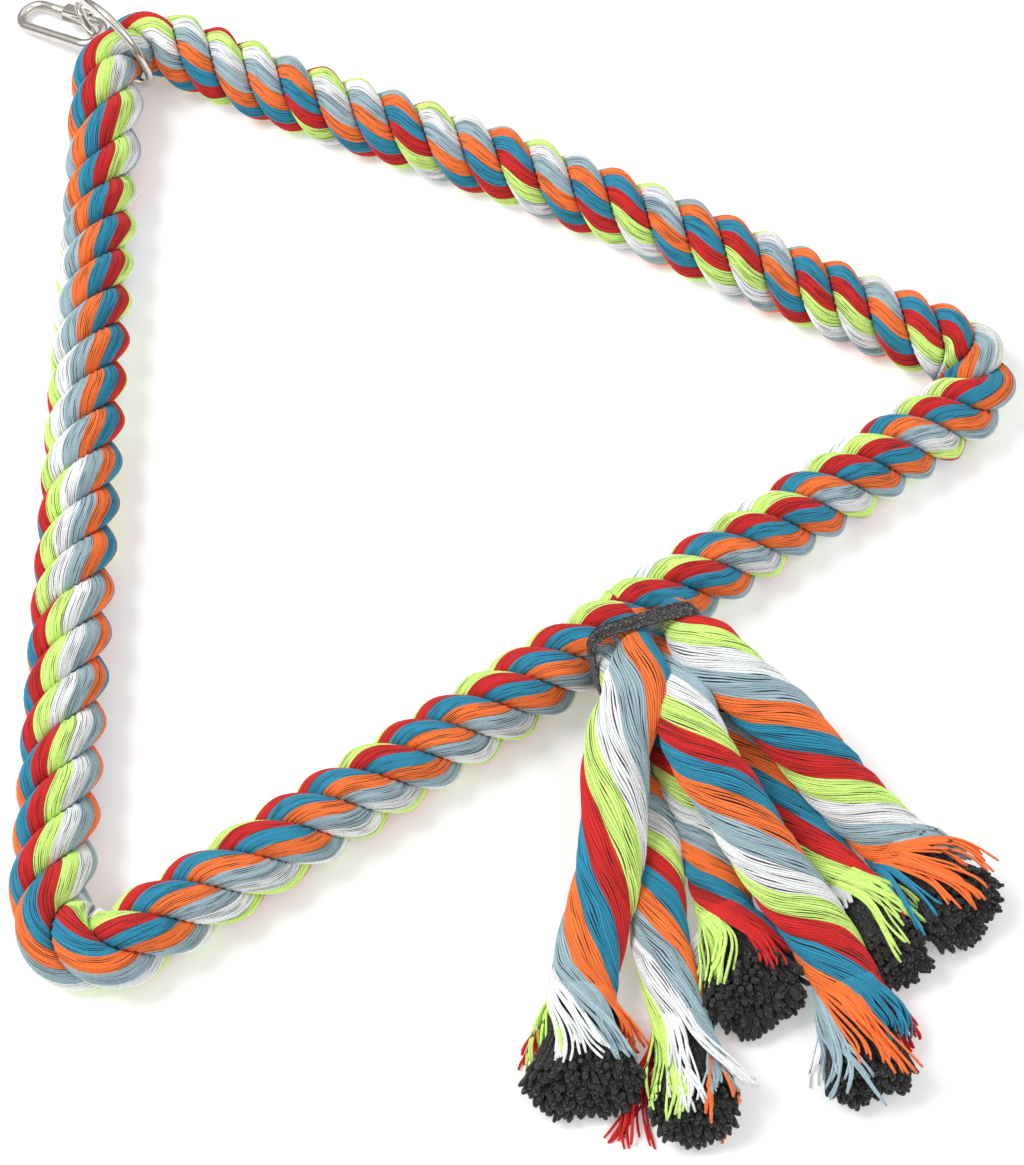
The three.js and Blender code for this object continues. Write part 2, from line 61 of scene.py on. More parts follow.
# Camera at the photograph's viewing angle, with its focal length in the photograph's pixels
CAMERA_PLACE = Vector((-0.2438, -0.3136, 0.8508))
CAMERA_RIGHT = Vector((0.81878, -0.57411, 0))
CAMERA_DOWN = Vector((-0.51050, -0.72807, -0.45750))
CAMERA_FORWARD = Vector((0.26265, 0.37459, -0.88921))
FOCAL_PIXELS = 2450
PICTURE_HEIGHT = 1165
SENSOR_HEIGHT = 24
CLIP_NEAR = 0.01
CLIP_FAR = 20


def add_camera():
    data = bpy.data.cameras.new("camera")
    data.sensor_fit = "VERTICAL"
    data.sensor_height = SENSOR_HEIGHT
    data.lens = FOCAL_PIXELS * SENSOR_HEIGHT / PICTURE_HEIGHT
    data.clip_start = CLIP_NEAR
    data.clip_end = CLIP_FAR
    camera = bpy.data.objects.new("camera", data)
    turned = Matrix((CAMERA_RIGHT, -CAMERA_DOWN, -CAMERA_FORWARD)).transposed().to_4x4()
    camera.matrix_world = Matrix.Translation(CAMERA_PLACE + SHIFT) @ turned
    scene.collection.objects.link(camera)
    scene.camera = camera


add_camera()


# Shader maths: a socket that answers to the usual operators
class Value:
    def __init__(self, finish, socket):
        self.finish = finish
        self.socket = socket

    def maths(self, operation, *others):
        return self.finish.node("ShaderNodeMath", {"operation": operation}, dict(enumerate((self, *others))))

    def __add__(self, other):
        return self.maths("ADD", other)

    def __sub__(self, other):
        return self.maths("SUBTRACT", other)

    def __mul__(self, other):
        return self.maths("MULTIPLY", other)

    def __truediv__(self, other):
        return self.maths("DIVIDE", other)

    def __rsub__(self, other):
        return self.finish.node("ShaderNodeMath", {"operation": "SUBTRACT"}, {0: other, 1: self})

    __radd__ = __add__
    __rmul__ = __mul__

    def floor(self):
        return self.maths("FLOOR")

    def fract(self):
        return self.maths("FRACT")

    def size(self):
        return self.maths("ABSOLUTE")

    def wave(self):
        return self.maths("SINE")

    def ramp(self, low, high):
        sockets = {0: self, 1: low, 2: high}
        return self.finish.node("ShaderNodeMapRange", {"interpolation_type": "SMOOTHSTEP"}, sockets)


# A node tree, with one method that adds every node
class NodeTree:
    def __init__(self, tree):
        self.tree = tree

    def node(self, kind, settings=None, sockets=None, output=0):
        made = self.tree.nodes.new(kind)
        for name, value in (settings or {}).items():
            if name == "stops":
                elements = made.color_ramp.elements
                while len(elements) < len(value):
                    elements.new(0.5)
                for element, (place, shade) in zip(elements, value):
                    element.position = place
                    element.color = (*shade, 1)
            elif name == "steps":
                made.color_ramp.interpolation = value
            else:
                setattr(made, name, value)
        for name, value in (sockets or {}).items():
            self.link(value, made.inputs[name])
        return Value(self, made.outputs[output])

    def link(self, value, socket):
        if isinstance(value, Value):
            self.tree.links.new(value.socket, socket)
        else:
            socket.default_value = value

    def join(self, x, y, z):
        return self.node("ShaderNodeCombineXYZ", sockets={0: x, 1: y, 2: z})

    def noise(self, vector, scale, detail=2.0):
        return self.node("ShaderNodeTexNoise", sockets={"Vector": vector, "Scale": scale, "Detail": detail})

    def mix(self, share, first, second, blend="MIX"):
        """Mix of two colours, through the mix node's own sockets for colours."""
        settings = {"data_type": "RGBA", "blend_type": blend}
        return self.node("ShaderNodeMix", settings, {0: share, 6: first, 7: second}, 2)


# A material: the Principled shader's constant values, and what feeds its sockets
class Finish(NodeTree):
    def __init__(self, name, **constants):
        self.material = bpy.data.materials.new(name)
        self.material.use_nodes = True
        super().__init__(self.material.node_tree)
        self.shader = self.tree.nodes["Principled BSDF"]
        for socket, value in constants.items():
            self.shader.inputs[socket.replace("_", " ").title()].default_value = value

    def feed(self, name, value):
        self.link(value, self.shader.inputs[name])

    def bump(self, height, strength, distance):
        sockets = {"Height": height, "Strength": strength, "Distance": distance}
        self.feed("Normal", self.node("ShaderNodeBump", sockets=sockets))

    def place(self):
        """Object coordinates in millimetres."""
        point = self.node("ShaderNodeTexCoord", output="Object")
        return self.node("ShaderNodeVectorMath", {"operation": "SCALE"}, {0: point, 3: 1000.0})

    def weave(self):
        """Across and along values of the piece's own map."""
        point = self.node("ShaderNodeUVMap", {"uv_map": "UVMap"})
        parts = self.node("ShaderNodeSeparateXYZ", sockets={0: point})
        return parts, Value(self, parts.socket.node.outputs["Y"])


def colour(red, green, blue):
    def linear(level):
        level /= 255
        return level / 12.92 if level <= 0.04045 else ((level + 0.055) / 1.055) ** 2.4

    return tuple(linear(level) for level in (red, green, blue))


RED = colour(197, 32, 32)
BLUE = colour(40, 134, 166)
ORANGE = colour(241, 117, 53)
GREY_BLUE = colour(154, 178, 187)
WHITE = colour(230, 232, 233)
LIME = colour(203, 236, 125)
CHARCOAL = colour(36, 33, 32)
PALETTE = [RED, BLUE, ORANGE, GREY_BLUE, WHITE, LIME]


# Cotton yarn. Its tone strays from yarn to yarn, drifts along a yarn and varies with its fibres and plies.
# The scales of the noises count across the yarns and along them. The gap between two yarns is painted shade.
# It starts and ends at shares of a yarn's width from its middle, and widens by the parted shares where the
# opening parts the yarns.
COTTON_TONE = 1.23
YARN_STRAY = 0.36
DRIFT_STRAY = 0.4
FIBRE_STRAY = 0.9
PLY_STRAY = 0.05
DRIFT_ACROSS, DRIFT_ALONG = 3.7, 0.06
FIBRE_ACROSS, FIBRE_ALONG = 3, 0.9
OPENING_ACROSS, OPENING_ALONG = 2.9, 0.075
OPENING_SEED = 20.0
PLY_BEAT = 4.6
PLY_SLANT = 5.0
PLY_DRIFT = 6
GAP_START, GAP_END = 0.3, 0.5
PARTED_START, PARTED_END = 0.16, 0.08
PARTED = (0.47, 0.62)
SLIT_FADE = 0.03
SLIT_DARK = 0.85
YARN_RELIEF, FIBRE_RELIEF, PLY_RELIEF, SLIT_RELIEF = 0.7, 0.4, 0.1, 0.8
COTTON_BUMP = 0.6
COTTON_RELIEF = 0.0005
YARN_ROUGHNESS, YARN_ROUGHNESS_STRAY = 0.8, 0.2


# Each yarn of a strand takes one colour of the palette from its place across the strand. The gaps between
# yarns open and close along the strand, and are painted shade. Shut is how dark that painted shade is where a
# gap is closed, and past gape an opening is a slit, painted near black: the dark core seen through it, and
# painted shade.
def cotton(name, palette, yarns, length, seed, shut, gape):
    finish = Finish(name, roughness=0.9, sheen_weight=0.08, sheen_roughness=0.5)
    across, along = finish.weave()
    along = along * length
    yarn = across * yarns
    number = yarn.floor()
    middle = yarn.fract() - 0.5
    stops = [(i / len(palette), shade) for i, shade in enumerate(palette)]
    bands = {"steps": "CONSTANT", "stops": stops}
    base = finish.node("ShaderNodeValToRGB", bands, {0: (number + 0.5) / yarns})
    chance = finish.node("ShaderNodeTexWhiteNoise", {"noise_dimensions": "1D"}, {"W": number + seed})
    drift = finish.noise(finish.join(number * DRIFT_ACROSS, along * DRIFT_ALONG, seed), 1.0)
    fibre = finish.noise(finish.join(yarn * FIBRE_ACROSS, along * FIBRE_ALONG, seed), 1.0, 4.0)
    ply = ((along * PLY_BEAT + middle * PLY_SLANT) + drift * PLY_DRIFT).wave()
    tone = COTTON_TONE + (chance - 0.5) * YARN_STRAY + (drift - 0.5) * DRIFT_STRAY
    tone = tone + (fibre - 0.5) * FIBRE_STRAY + ply * PLY_STRAY
    seam = (yarn + 0.5).floor()
    spot = finish.join(seam * OPENING_ACROSS, along * OPENING_ALONG, seed + OPENING_SEED)
    opening = finish.noise(spot, 1.0, 1.0)
    parted = opening.ramp(*PARTED)
    # Painted shade in the seams between yarns, wider and darker where they part, near black at the slits
    edge = middle.size().ramp(GAP_START - parted * PARTED_START, GAP_END - parted * PARTED_END)
    gap = edge * (shut + parted * (1 - shut))
    slit = opening.ramp(gape, gape + SLIT_FADE) * edge
    shade = tone * (1 - gap) * (1 - slit * SLIT_DARK)
    grey = finish.join(shade, shade, shade)
    finish.feed("Base Color", finish.mix(1.0, base, grey, "MULTIPLY"))
    finish.feed("Roughness", YARN_ROUGHNESS + fibre * YARN_ROUGHNESS_STRAY)
    relief = (1 - gap) * YARN_RELIEF + fibre * FIBRE_RELIEF + ply * PLY_RELIEF - slit * SLIT_RELIEF
    finish.bump(relief, COTTON_BUMP, COTTON_RELIEF)
    return finish.material


def finish_piece(name, bm, material, slot, body, *nodes):
    mesh = bpy.data.meshes.new(name)
    for face in bm.faces:
        face.smooth = True
    bm.to_mesh(mesh)
    bm.free()
    mesh.materials.append(material)
    piece = bpy.data.objects.new(name, mesh)
    scene.collection.objects.link(piece)
    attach(piece, body)
    if nodes:
        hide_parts(*nodes)
    return piece


WELD = 1e-7


def fill_ends(bm):
    rim = [edge for edge in bm.edges if edge.is_boundary]
    bmesh.ops.holes_fill(bm, edges=rim, sides=0)


# A grid rolled into a tube: place(row, share round) gives each point, and the map keeps the share and the row
def roll(bm, columns, rows, place, closed_ends=True):
    bm.loops.layers.uv.new("UVMap")
    made = bmesh.ops.create_grid(bm, x_segments=columns, y_segments=rows, size=0.5, calc_uvs=True)["verts"]
    for vert in made:
        vert.co = place(round((vert.co.y + 0.5) * rows), vert.co.x + 0.5)
    bmesh.ops.remove_doubles(bm, verts=made, dist=WELD)
    if closed_ends:
        fill_ends(bm)


CURVE_STEPS = 40


# Centripetal curve through given points, as evenly spaced points
class Curve:
    def __init__(self, points, spacing):
        points = [2 * points[0] - points[1], *points, 2 * points[-1] - points[-2]]
        fine = []
        for before, start, end, after in zip(points, points[1:], points[2:], points[3:]):
            pairs = ((before, start), (start, end), (end, after))
            back, here, on = [(b - a).length ** 0.5 for a, b in pairs]
            leave = (start - before) / back - (end - before) / (back + here) + (end - start) / here
            reach = (end - start) / here - (after - start) / (here + on) + (after - end) / on
            for i in range(CURVE_STEPS):
                t = i / CURVE_STEPS
                point = (2 * t**3 - 3 * t**2 + 1) * start + (t**3 - 2 * t**2 + t) * leave * here
                point = point + (3 * t**2 - 2 * t**3) * end + (t**3 - t**2) * reach * here
                fine.append(point)
        fine.append(points[-2].copy())
        travelled = [0.0]
        for a, b in zip(fine, fine[1:]):
            travelled.append(travelled[-1] + (b - a).length)
        self.length = travelled[-1]
        self.steps = round(self.length / spacing)
        self.points = []
        k = 0
        for i in range(self.steps + 1):
            wanted = self.length * i / self.steps
            while k < len(fine) - 2 and travelled[k + 1] < wanted:
                k += 1
            share = (wanted - travelled[k]) / (travelled[k + 1] - travelled[k])
            self.points.append(fine[k].lerp(fine[k + 1], share))

    def frame(self, i):
        """Point, and the ways forward, to the side and upright there."""
        forward = self.points[min(i + 1, self.steps)] - self.points[max(i - 1, 0)]
        forward.normalize()
        side = UP.cross(forward).normalized()
        return self.points[i], forward, side, forward.cross(side)


# Tails of the tassel, each about the base's middle in millimetres: the place of its root in the neck, its
# width, where it has filled out, the turns of its palette at distances along it, the points it passes, the
# width and the slant of its brush, and for each colour the lean and the reach of its loose ends. Three tails
# are laid the other way up, which turns the palette round.
TAILS = [
    {
        "row": 1, "column": -0.35, "width": 24, "fill": 26, "turned": False, "brush": 43, "slant": 0.42,
        "phases": [(0, 0.27), (17, 0.41), (51, 0.72), (97, 1.07), (112, 1.24), (134, 1.43), (145, 1.6),
                   (170, 1.95)],
        "points": [(8, -33.3, 38), (-8.8, -45.5, 33), (-22.5, -62.9, 25), (-35.8, -78, 17),
                   (-56.8, -95.6, 11.5), (-72.2, -111.5, 10.5), (-84, -129.1, 10.5)],
        "wisps": [(-0.8, 1.4), (-0.1, 1.2), (0.3, 0.9), (0.5, 1.3), (0.5, 1.25), (1.1, 1.25)],
    },
    {
        "row": 0, "column": -1, "width": 20.5, "fill": 30, "turned": False, "brush": 32, "slant": 0.4,
        "phases": [(0, -0.53), (81, 0.98), (97, 1.29), (120, 1.58), (148, 1.74), (175, 1.88)],
        "points": [(4, -34, 27), (-4.1, -45.2, 16), (-14.2, -75.5, 9.6), (-25.3, -93.5, 9.1),
                   (-36.4, -111.6, 9), (-44.8, -132.3, 9), (-58.4, -158.6, 10.2)],
        "wisps": [(-0.5, 1.75), (-0.4, 1.7), (0, 1.75), (-0.15, 1.3), (0, 1.65), (0.1, 1.5)],
    },
    {
        "row": -1, "column": -0.5, "width": 20.5, "fill": 40, "turned": True, "brush": 40, "slant": 0.46,
        "phases": [(0, -0.9), (61, 0.1), (87, 0.54), (103, 0.88), (130, 1.3)],
        "points": [(9.4, -60.1, 19), (4.5, -79.8, 11), (-2.6, -97.8, 9.4), (-9, -113.4, 9.2),
                   (-17.2, -137.6, 10.2)],
        "wisps": [(0.35, 1.3), (0.5, 1.4), (0.6, 1.2), (0, 1.75), (-0.2, 0.8), (-0.45, 1.3)],
    },
    {
        "row": -0.5, "column": 0.35, "width": 24, "fill": 34, "turned": False, "brush": 33, "slant": 0.25,
        "phases": [(0, 0.3), (35, 0.75), (68, 1.25), (85, 1.44), (115, 1.79), (136, 2.1), (180, 2.6)],
        "points": [(18.8, -46.5, 35), (13, -67.6, 35), (11.8, -89.1, 31.3), (10.6, -111.4, 26),
                   (11.8, -137.3, 18), (8.8, -159.7, 12.7), (-1.7, -183.5, 10.9)],
        "wisps": [(0.15, 1.2), (0, 1.0), (0.05, 1.5), (0.05, 1.75), (0.4, 1.3), (0.1, 0.8)],
    },
    {
        "row": -1, "column": 0.9, "width": 21, "fill": 40, "turned": True, "brush": 24, "slant": 0.35,
        "phases": [(0, 0), (39, 0.4), (76, 0.75), (102, 0.96), (135, 1.25)],
        "points": [(35, -53.4, 17), (35.5, -69.6, 10.5), (33.3, -88.9, 9.2), (32.5, -108.5, 9),
                   (33, -127.8, 9), (31.8, -154.6, 10.6)],
        "wisps": [(0.1, 1.0), (0.3, 1.3), (0.2, 0.9), (0, 0.8), (0, 0.35), (-0.25, 1.4)],
    },
    {
        "row": 1, "column": 1, "width": 25, "fill": 26, "turned": True, "brush": 35, "slant": 0.4,
        "phases": [(0, 0.68), (20, 1.07), (59, 1.54), (83, 1.84), (122, 2.4), (150, 2.9)],
        "points": [(41.8, -47.8, 34), (47.9, -69, 28), (51.7, -97.3, 18.5), (55.5, -116.5, 13),
                   (58.2, -134.5, 10.8), (60.3, -154.6, 10.4)],
        "wisps": [(-0.1, 0.9), (-0.35, 1.4), (0, 1.5), (-0.15, 1.0), (0, 0.7), (0.1, 0.9)],
    },
]
TAIL_YARNS = 66
TAIL_HEIGHT = 16.4
FILL_START = 8
END_SWELL = 0.06
END_SWELL_RUN = 26
STEP = 1.5
FRAY = 24

# Neck of the tassel, and the roots of the tails in it
ROOT_RADIUS = 6.8
ROOT_SPACING = 14.2
ROOT_STEP = 3.55
ROOT_START = -1.4
ROOT_END = 5
NECK_RISE = math.radians(36)
NECK_TURN = math.radians(18)
NECK_AWAY = Vector((-math.sin(NECK_TURN), -math.cos(NECK_TURN), 0))
NECK_ALONG = NECK_AWAY * math.cos(NECK_RISE) + UP * math.sin(NECK_RISE)
NECK_UP = UP * math.cos(NECK_RISE) - NECK_AWAY * math.sin(NECK_RISE)
NECK_ACROSS = Vector((math.cos(NECK_TURN), -math.sin(NECK_TURN), 0))
NECK_CENTRE = Vector((25, -18.08, 25.54))

# Waves in which the yarns stray from an even turn: the size in turns, the beat along and the count round
WANDERS = [(0.006, 0.13, 6), (0.004, 0.31, -11)]

# Relief of a cover: the arch of a yarn, the swell of a colour's band, how far both are sunk, and the share of
# it that is left under the whipping, up to these distances along the tail
YARN_ARCH = 0.42
YARN_LIFT = 0.2
LIFT_KNOTS = 4
BAND_SWELL = 0.9
BAND_STRAY = (-0.25, 0.35)
COVER_SINK = 0.75
SQUEEZED_SHARE = 0.25
SQUEEZED_RUN = (7, 22)
COLUMNS_PER_YARN = 3


def along_knots(knots, s):
    for (low, first), (high, second) in zip(knots, knots[1:]):
        if s <= high:
            return first + (second - first) * (s - low) / (high - low)
    return knots[-1][1]


def tail_curve(tail):
    root = NECK_CENTRE + (NECK_ACROSS * tail["column"] + NECK_UP * tail["row"] / 2) * ROOT_SPACING
    start = ROOT_START - ROOT_STEP * (tail["column"] + 1)
    points = [root + NECK_ALONG * reach for reach in (start, ROOT_END)]
    points += [Vector(point) for point in tail["points"]]
    return Curve([point * MM + SHIFT for point in points], STEP * MM)


def tail_halves(tail, travelled, length):
    filled = smooth(travelled, FILL_START, tail["fill"])
    swell = 1 + END_SWELL * smooth(travelled, length - END_SWELL_RUN, length)
    fulls = (tail["width"], TAIL_HEIGHT)
    return [(ROOT_RADIUS + (full / 2 - ROOT_RADIUS) * filled) * swell for full in fulls]


# Where a yarn of a tail lies: its share round the cover counts from the top, and turns slowly down the tail
def yarn_place(tail, curve, i, share, proud):
    point, forward, side, upright = curve.frame(i)
    length = curve.length / MM
    travelled = length * i / curve.steps
    half_width, half_height = tail_halves(tail, travelled, length)
    wander = 0
    for size, beat, count in WANDERS:
        wander += size * math.sin(travelled * beat + share * TURN * count)
    angle = TURN * (share + 0.25 - along_knots(tail["phases"], travelled) + wander)
    across = side * (half_width + proud) * math.cos(angle)
    return point + (across + upright * (half_height + proud) * math.sin(angle)) * MM


def add_tail(number, tail, materials):
    curve = tail_curve(tail)
    chance = random.Random(number)
    last = curve.steps - round(FRAY / STEP)
    lift = [[chance.uniform(-YARN_LIFT, YARN_LIFT) for _ in range(LIFT_KNOTS)] for _ in range(TAIL_YARNS)]
    bands = [chance.uniform(*BAND_STRAY) for _ in PALETTE]

    def place(row, share):
        yarn = share * TAIL_YARNS
        mine = lift[int(yarn) % TAIL_YARNS]
        knots = row / last * (LIFT_KNOTS - 1)
        k = min(int(knots), LIFT_KNOTS - 2)
        height = mine[k] + (mine[k + 1] - mine[k]) * (knots - k)
        arch = math.sin(math.pi * (yarn % 1))
        band = share * len(PALETTE)
        swell = math.sin(math.pi * (band % 1)) * (BAND_SWELL + bands[int(band) % len(PALETTE)])
        proud = (YARN_ARCH + height) * arch + swell - COVER_SINK
        squeezed = SQUEEZED_SHARE + (1 - SQUEEZED_SHARE) * smooth(row * STEP, *SQUEEZED_RUN)
        return yarn_place(tail, curve, row, share, proud * squeezed)

    bm = bmesh.new()
    roll(bm, TAIL_YARNS * COLUMNS_PER_YARN, last, place)
    material = materials[tail["turned"]]
    cover = finish_piece(f"tail_{number}", bm, material, "cotton_red", "tassel", f"tail_cover_{number}")
    fringe = add_fringe(number, tail, curve, last, material, chance)
    brush = add_brush(number, tail, curve, chance)
    tuple(curve.points[0])
    [tuple(point) for point in curve.points[:last + 1]]


# A thin yarn along a list of points, with its share of the palette kept in the map
def add_yarn(bm, points, radii, share, sides):
    layer = bm.loops.layers.uv["UVMap"]
    rows = len(points) - 1
    made = bmesh.ops.create_grid(bm, x_segments=sides, y_segments=rows, size=0.5)["verts"]
    for face in {face for vert in made for face in vert.link_faces}:
        for loop in face.loops:
            loop[layer].uv = (share, loop.vert.co.y + 0.5)
    pairs = {}
    seams = {}
    for vert in made:
        row = round((vert.co.y + 0.5) * rows)
        column = round((vert.co.x + 0.5) * sides)
        angle = TURN * column / sides
        forward = (points[min(row + 1, rows)] - points[max(row - 1, 0)]).normalized()
        side = forward.orthogonal().normalized()
        around = side * math.cos(angle) + forward.cross(side) * math.sin(angle)
        vert.co = points[row] + around * radii[row]
        if column % sides:
            continue
        if row in seams:
            pairs[vert] = seams[row]
        seams[row] = vert
    bmesh.ops.weld_verts(bm, targetmap=pairs)


def close_yarns(bm):
    fill_ends(bm)
    bmesh.ops.recalc_face_normals(bm, faces=bm.faces)


# Brush at the end of a tail, with distances from the tail's end: how far it reaches, the share of that at
# which its slanted cut passes the middle, how tightly the tail binds it, and where it spreads to full size
BRUSH_REACH = 22
BRUSH_CUT = 0.56
BRUSH_BOUND = 0.72
BRUSH_SPREAD = (-24, 10)
BRUSH_HALF_HEIGHT = 9

# Loose ends of a cover. Each colour parts into locks, which stray, stretch, curl and sway by chance, and each
# yarn strays a little from its lock. Pulls turn it at every step, and a growing gap keeps it over the brush.
FRINGE_STEPS = 12
FRINGE_SIDES = 4
LOCKS_PER_COLOUR = 3
LOCK_STRAY = 0.2
LOCK_STRETCH = (0.85, 1.1)
LOCK_CURL = 0.42
LOCK_BEAT = (4, 8)
LOCK_SWAY = (0.06, 0.15)
LOOSE_PLACE = (0.1, 0.9)
LOOSE_STRAY = 0.06
LOOSE_REACH = (0.74, 1.04)
LOOSE_CURL = 0.15
LOOSE_PHASE = 0.5
TUCK_ROWS = 2
TUCK_DEPTH = 0.25
UNDERSIDE = -0.2
LEAN_PULL = 0.12
CURL_PULL = 0.3
FORWARD_PULL = 0.1
OUTWARD_PULL = 0.02
DROOP_PULL = 0.16
OVER_CUT = 0.58
OVER_GAP = 0.8
OVER_GAP_GROWTH = 2.4
OVER_GAP_RUN = (-12, 4)
FRINGE_FLOOR = 0.7
FRINGE_RADIUS = (0.48, 0.68)
BLUNT_END = (1.15, 0.85)


# Height of a brush's slanted cut under a loose end, as a share of the brush's half height
def brush_top(tail, forth, across):
    if abs(across) >= 1:
        return -1.0
    cut = (OVER_CUT - forth / BRUSH_REACH) / tail["slant"]
    return min(math.sqrt(1 - across * across), cut)


def brush_halves(tail, forth, length):
    half_width, half_height = (half * BRUSH_BOUND for half in tail_halves(tail, length, length))
    spread = smooth(forth, *BRUSH_SPREAD)
    half_width += (tail["brush"] / 2 - half_width) * spread
    half_height += (BRUSH_HALF_HEIGHT - half_height) * spread
    return half_width, half_height


# Loose ends of a tail's cover, which part by colour into wavy locks and drape over the brush to the floor
def add_fringe(number, tail, curve, last, material, chance):
    bm = bmesh.new()
    bm.loops.layers.uv.new("UVMap")
    end, forward, side, upright = curve.frame(curve.steps)
    length = curve.length / MM
    palette = PALETTE[::-1] if tail["turned"] else PALETTE
    locks = []
    for _ in range(LOCKS_PER_COLOUR * len(palette)):
        lock = [chance.gauss(0, LOCK_STRAY), chance.uniform(*LOCK_STRETCH), chance.gauss(0, LOCK_CURL)]
        locks.append(lock + [chance.uniform(0, TURN), chance.uniform(*LOCK_BEAT), chance.uniform(*LOCK_SWAY)])
    for yarn in range(2 * TAIL_YARNS):
        share = (yarn % TAIL_YARNS + chance.uniform(*LOOSE_PLACE)) / TAIL_YARNS
        lean, reach = tail["wisps"][PALETTE.index(palette[int(share * len(palette))])]
        stray, stretch, curl, phase, beat, sway = locks[int(share * len(locks))]
        lean += stray + chance.gauss(0, LOOSE_STRAY)
        reach = FRAY * reach * stretch * chance.uniform(*LOOSE_REACH)
        curl += chance.gauss(0, LOOSE_CURL)
        phase += chance.gauss(0, LOOSE_PHASE)
        start = yarn_place(tail, curve, last - TUCK_ROWS, share, -TUCK_DEPTH)
        position = yarn_place(tail, curve, last, share, 0)
        outward = (position - curve.points[last]).normalized()
        way = (position - start).normalized()
        points = [start]
        over = outward.z > UNDERSIDE
        for i in range(FRINGE_STEPS + 1):
            points.append(position.copy())
            gone = i / FRINGE_STEPS
            wave = sway * math.sin(phase + beat * gone)
            pull = side * (lean * LEAN_PULL + wave + curl * CURL_PULL * gone**2) + forward * FORWARD_PULL
            way = (way + pull + outward * OUTWARD_PULL - UP * DROOP_PULL * gone).normalized()
            position = position + way * reach / FRINGE_STEPS * MM
            away = (position - end) / MM
            forth = away.dot(forward)
            wide, high = brush_halves(tail, forth, length)
            top = brush_top(tail, forth, away.dot(side) / wide) * high
            lowest = top + OVER_GAP + OVER_GAP_GROWTH * smooth(forth, *OVER_GAP_RUN)
            rise = away.dot(upright)
            if over and rise < lowest:
                position = position + upright * (lowest - rise) * MM
            position.z = max(position.z, FRINGE_FLOOR * MM)
        thick = chance.uniform(*FRINGE_RADIUS) * MM
        radii = [thick] * FRINGE_STEPS + [thick * size for size in BLUNT_END]
        add_yarn(bm, points, radii, (yarn % TAIL_YARNS + 0.5) / TAIL_YARNS, FRINGE_SIDES)
    close_yarns(bm)
    return finish_piece(f"tail_fringe_{number}", bm, material, "cotton_red", "tassel")


# Yarns of a brush: their count for each millimetre of width, how their tips stray, fall back at the rim,
# clump, sway, splay and lift, and stations along a yarn, with shares of its length, turned end and radius
BRUSH_DENSITY = 5.2
BRUSH_SIDES = 6
BRUSH_ROOT = 26
BRUSH_INSET = 1.2
BRUSH_FLOOR = 1.2
BRUSH_RADIUS = (0.95, 1.3)
GOLDEN_ANGLE = 2.39996
TIP_STRAY = (-3.6, 1.6)
EVEN_SHARE = 0.3
EVEN_UNDER = (-0.9, 0.1)
RIM_BACK = 3.5
RIM = (0.7, 1)
CLUMP = 1.8
CLUMP_ACROSS, CLUMP_UP = 5, 4
TIP_SWAY = 1.8
TIP_SPLAY = 1.2
TIP_LIFT = (1.0, 5.0)
FLAT_UNDER = (-1.1, 0.1)
BRUSH_STATIONS = [
    (0, 0, 0.8), (0.5, 0, 0.9), (0.78, 0.04, 1), (0.9, 0.25, 1.1), (0.97, 0.66, 1.12), (1, 1, 0.6),
]


# Dark core of a tail: thick yarns that spread into a brush, cut on the slant, with their ends turned up
def add_brush(number, tail, curve, chance):
    bm = bmesh.new()
    bm.loops.layers.uv.new("UVMap")
    end, forward, side, upright = curve.frame(curve.steps)
    length = curve.length / MM
    count = round(tail["brush"] * BRUSH_DENSITY)
    for i in range(count):
        radius = math.sqrt((i + 0.5) / count)
        angle = i * GOLDEN_ANGLE
        across = radius * math.cos(angle)
        up = radius * math.sin(angle)
        ragged = EVEN_SHARE + (1 - EVEN_SHARE) * smooth(up, *EVEN_UNDER)
        tip = BRUSH_REACH * (BRUSH_CUT - tail["slant"] * up) + chance.uniform(*TIP_STRAY) * ragged
        tip -= RIM_BACK * smooth(radius, *RIM)
        tip += CLUMP * math.sin(across * CLUMP_ACROSS + number) * math.cos(up * CLUMP_UP - number)
        sway = chance.uniform(-TIP_SWAY, TIP_SWAY) + across * TIP_SPLAY
        lift = chance.uniform(*TIP_LIFT) * smooth(up, *FLAT_UNDER)
        points = []
        for share, turned, _ in BRUSH_STATIONS:
            forth = -BRUSH_ROOT + (BRUSH_ROOT + tip) * share
            wide, high = brush_halves(tail, forth, length)
            spot = forward * forth + side * (across * (wide - BRUSH_INSET) + sway * turned)
            spot = end + (spot + upright * (up * (high - BRUSH_INSET) + lift * turned)) * MM
            spot.z = max(spot.z, BRUSH_FLOOR * MM)
            points.append(spot)
        thick = chance.uniform(*BRUSH_RADIUS) * MM
        radii = [thick * size for _, _, size in BRUSH_STATIONS]
        add_yarn(bm, points, radii, chance.random(), BRUSH_SIDES)
    close_yarns(bm)
    return finish_piece(f"tail_brush_{number}", bm, DARK_YARN, "cotton_dark", "tassel", f"tail_core_{number}")


# Charcoal yarn for the brushes and the whipping. Pale fibres show where its grain passes speck, its relief is
# in metres, and the last argument is the share of painted shade by which it darkens short of its ends, where
# it lies among the other yarns of a brush.
PALE_FIBRE = colour(150, 146, 146)
PALE_FADE = 0.08
PALE_SHARE = 0.6
CHARCOAL_GRAIN, CHARCOAL_FIBRE = 1.3, 0.45
FIBRE_RANGE = (0.3, 0.7)
FIBRE_TONE, ACROSS_TONE = 1.15, 0.5
TIP_RANGE = (0.8, 1.0)


